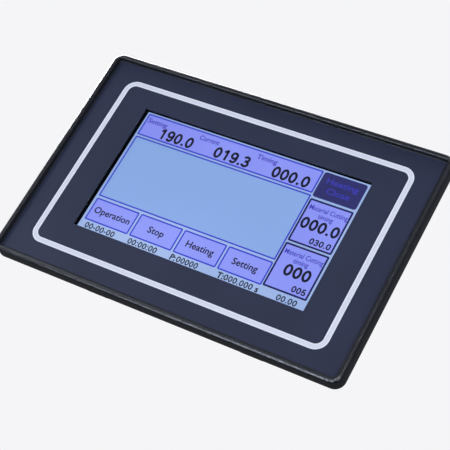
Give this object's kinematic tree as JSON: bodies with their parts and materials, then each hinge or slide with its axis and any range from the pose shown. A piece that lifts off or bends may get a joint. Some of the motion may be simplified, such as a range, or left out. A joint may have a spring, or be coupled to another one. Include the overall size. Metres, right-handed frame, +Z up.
{
  "type": "hmi touch panel",
  "caption": "Small framed touch-screen operator panel with a lit control page, moulded rear case, ports, gasket and cabinet clamps.",
  "frame": {"origin": "centre of the flange's rear face, the plane that meets the cabinet door", "axes": "+X to the right and +Z up as seen by the operator, +Y into the cabinet; the screen faces -Y"},
  "size_m": [0.1428, 0.0362, 0.0936],
  "materials": {
    "bezel_plastic": "fine spark-eroded texture, satin",
    "case_plastic": "moulded texture",
    "printed_film": "fine matt polyester",
    "foam": "matt",
    "touch_glass": "gloss",
    "lit_screen": "lit",
    "zinc_steel": "zinc plated",
    "bright_steel": "nickel plated",
    "black_steel": "black zinc",
    "flex_film": "gloss",
    "gasket_rubber": "matt",
    "label_film": "satin",
    "circuit_board": "solder mask",
    "chip_epoxy": "matt",
    "capacitor_sleeve": "satin",
    "port_plastic": "satin",
    "white_nylon": "satin",
    "terminal_plastic": "satin",
    "switch_plastic": "satin"
  },
  "bodies": {
    "root": {"board_screw_1": "bright_steel", "board_screw_2": "bright_steel", "board_screw_3": "bright_steel", "board_screw_4": "bright_steel", "buzzer": "port_plastic", "coin_cell": "bright_steel", "coin_cell_holder": "port_plastic", "com_jack_screw_1": "bright_steel", "com_jack_screw_2": "bright_steel", "com_port_insulator": "port_plastic", "com_port_shell": "bright_steel", "dip_switch_body": "switch_plastic", "front_bezel": "bezel_plastic", "housing_screw_1": "black_steel", "housing_screw_2": "black_steel", "housing_screw_3": "black_steel", "housing_screw_4": "black_steel", "lcd_backlight_frame": "zinc_steel", "lcd_flex_cable": "flex_film", "lcd_flex_socket": "white_nylon", "lcd_glass": "lit_screen", "lcd_retainer": "zinc_steel", "main_board": "circuit_board", "memory_chip": "chip_epoxy", "overlay_film": "printed_film", "panel_gasket": "gasket_rubber", "power_capacitor": "capacitor_sleeve", "power_inductor": "chip_epoxy", "power_terminal_block": "terminal_plastic", "processor_chip": "chip_epoxy", "rating_label": "label_film", "rear_housing": "case_plastic", "reset_switch_body": "bright_steel", "touch_flex_socket": "white_nylon", "touch_flex_tail": "flex_film", "touch_panel": "touch_glass", "touch_seal": "foam", "usb_port_shell": "bright_steel", "usb_port_tongue": "port_plastic"},
    "clamp_bracket_1": {"clamp_bracket_1": "black_steel"},
    "clamp_foot_1": {"clamp_foot_1": "white_nylon"},
    "clamp_screw_1": {"clamp_screw_1": "bright_steel"},
    "clamp_bracket_2": {"clamp_bracket_2": "black_steel"},
    "clamp_foot_2": {"clamp_foot_2": "white_nylon"},
    "clamp_screw_2": {"clamp_screw_2": "bright_steel"},
    "clamp_bracket_3": {"clamp_bracket_3": "black_steel"},
    "clamp_foot_3": {"clamp_foot_3": "white_nylon"},
    "clamp_screw_3": {"clamp_screw_3": "bright_steel"},
    "clamp_bracket_4": {"clamp_bracket_4": "black_steel"},
    "clamp_foot_4": {"clamp_foot_4": "white_nylon"},
    "clamp_screw_4": {"clamp_screw_4": "bright_steel"},
    "terminal_screw_1": {"terminal_screw_1": "bright_steel"},
    "terminal_cage_1": {"terminal_cage_1": "zinc_steel"},
    "terminal_screw_2": {"terminal_screw_2": "bright_steel"},
    "terminal_cage_2": {"terminal_cage_2": "zinc_steel"},
    "terminal_screw_3": {"terminal_screw_3": "bright_steel"},
    "terminal_cage_3": {"terminal_cage_3": "zinc_steel"},
    "dip_slider_1": {"dip_slider_1": "white_nylon"},
    "dip_slider_2": {"dip_slider_2": "white_nylon"},
    "reset_button": {"reset_button": "port_plastic"}
  },
  "joints": [
    {"name": "bracket_slide_1", "type": "slide", "parent": "root", "child": "clamp_bracket_1", "axis": [0, 1, 0], "range_m": [0, 0.003]},
    {"name": "foot_advance_1", "type": "slide", "parent": "clamp_bracket_1", "child": "clamp_foot_1", "axis": [0, -1, 0], "range_m": [0, 0.00398]},
    {"name": "clamp_screw_turn_1", "type": "hinge", "parent": "clamp_foot_1", "child": "clamp_screw_1", "pos_m": [-0.0325, 0.011, 0.04], "axis": [0, -1, 0], "range_deg": [0, 2870]},
    {"name": "bracket_slide_2", "type": "slide", "parent": "root", "child": "clamp_bracket_2", "axis": [0, 1, 0], "range_m": [0, 0.003]},
    {"name": "foot_advance_2", "type": "slide", "parent": "clamp_bracket_2", "child": "clamp_foot_2", "axis": [0, -1, 0], "range_m": [0, 0.00398]},
    {"name": "clamp_screw_turn_2", "type": "hinge", "parent": "clamp_foot_2", "child": "clamp_screw_2", "pos_m": [0.0325, 0.011, 0.04], "axis": [0, -1, 0], "range_deg": [0, 2870]},
    {"name": "bracket_slide_3", "type": "slide", "parent": "root", "child": "clamp_bracket_3", "axis": [0, 1, 0], "range_m": [0, 0.003]},
    {"name": "foot_advance_3", "type": "slide", "parent": "clamp_bracket_3", "child": "clamp_foot_3", "axis": [0, -1, 0], "range_m": [0, 0.00398]},
    {"name": "clamp_screw_turn_3", "type": "hinge", "parent": "clamp_foot_3", "child": "clamp_screw_3", "pos_m": [-0.0325, 0.011, -0.04], "axis": [0, -1, 0], "range_deg": [0, 2870]},
    {"name": "bracket_slide_4", "type": "slide", "parent": "root", "child": "clamp_bracket_4", "axis": [0, 1, 0], "range_m": [0, 0.003]},
    {"name": "foot_advance_4", "type": "slide", "parent": "clamp_bracket_4", "child": "clamp_foot_4", "axis": [0, -1, 0], "range_m": [0, 0.00398]},
    {"name": "clamp_screw_turn_4", "type": "hinge", "parent": "clamp_foot_4", "child": "clamp_screw_4", "pos_m": [0.0325, 0.011, -0.04], "axis": [0, -1, 0], "range_deg": [0, 2870]},
    {"name": "terminal_screw_turn_1", "type": "hinge", "parent": "root", "child": "terminal_screw_1", "pos_m": [-0.04345, 0.026, -0.0286], "axis": [0, -1, 0], "range_deg": [0, 1146]},
    {"name": "terminal_cage_rise_1", "type": "slide", "parent": "root", "child": "terminal_cage_1", "axis": [0, 1, 0], "range_m": [0, 0.00158]},
    {"name": "terminal_screw_turn_2", "type": "hinge", "parent": "root", "child": "terminal_screw_2", "pos_m": [-0.03837, 0.026, -0.0286], "axis": [0, -1, 0], "range_deg": [0, 1146]},
    {"name": "terminal_cage_rise_2", "type": "slide", "parent": "root", "child": "terminal_cage_2", "axis": [0, 1, 0], "range_m": [0, 0.00158]},
    {"name": "terminal_screw_turn_3", "type": "hinge", "parent": "root", "child": "terminal_screw_3", "pos_m": [-0.03329, 0.026, -0.0286], "axis": [0, -1, 0], "range_deg": [0, 1146]},
    {"name": "terminal_cage_rise_3", "type": "slide", "parent": "root", "child": "terminal_cage_3", "axis": [0, 1, 0], "range_m": [0, 0.00158]},
    {"name": "dip_switch_1", "type": "slide", "parent": "root", "child": "dip_slider_1", "axis": [0, 0, 1], "range_m": [0, 0.002]},
    {"name": "dip_switch_2", "type": "slide", "parent": "root", "child": "dip_slider_2", "axis": [0, 0, 1], "range_m": [0, 0.002]},
    {"name": "reset_press", "type": "slide", "parent": "root", "child": "reset_button", "axis": [0, -1, 0], "range_m": [0, 0.0003], "stiffness_N_per_m": 2000, "springref_m": -0.0005}
  ],
  "couplings": [
    {"joint": "clamp_screw_turn_1", "follows": "foot_advance_1", "rad_per_m": 12566},
    {"joint": "clamp_screw_turn_2", "follows": "foot_advance_2", "rad_per_m": 12566},
    {"joint": "clamp_screw_turn_3", "follows": "foot_advance_3", "rad_per_m": 12566},
    {"joint": "clamp_screw_turn_4", "follows": "foot_advance_4", "rad_per_m": 12566},
    {"joint": "terminal_screw_turn_1", "follows": "terminal_cage_rise_1", "rad_per_m": 12566},
    {"joint": "terminal_screw_turn_2", "follows": "terminal_cage_rise_2", "rad_per_m": 12566},
    {"joint": "terminal_screw_turn_3", "follows": "terminal_cage_rise_3", "rad_per_m": 12566}
  ]
}
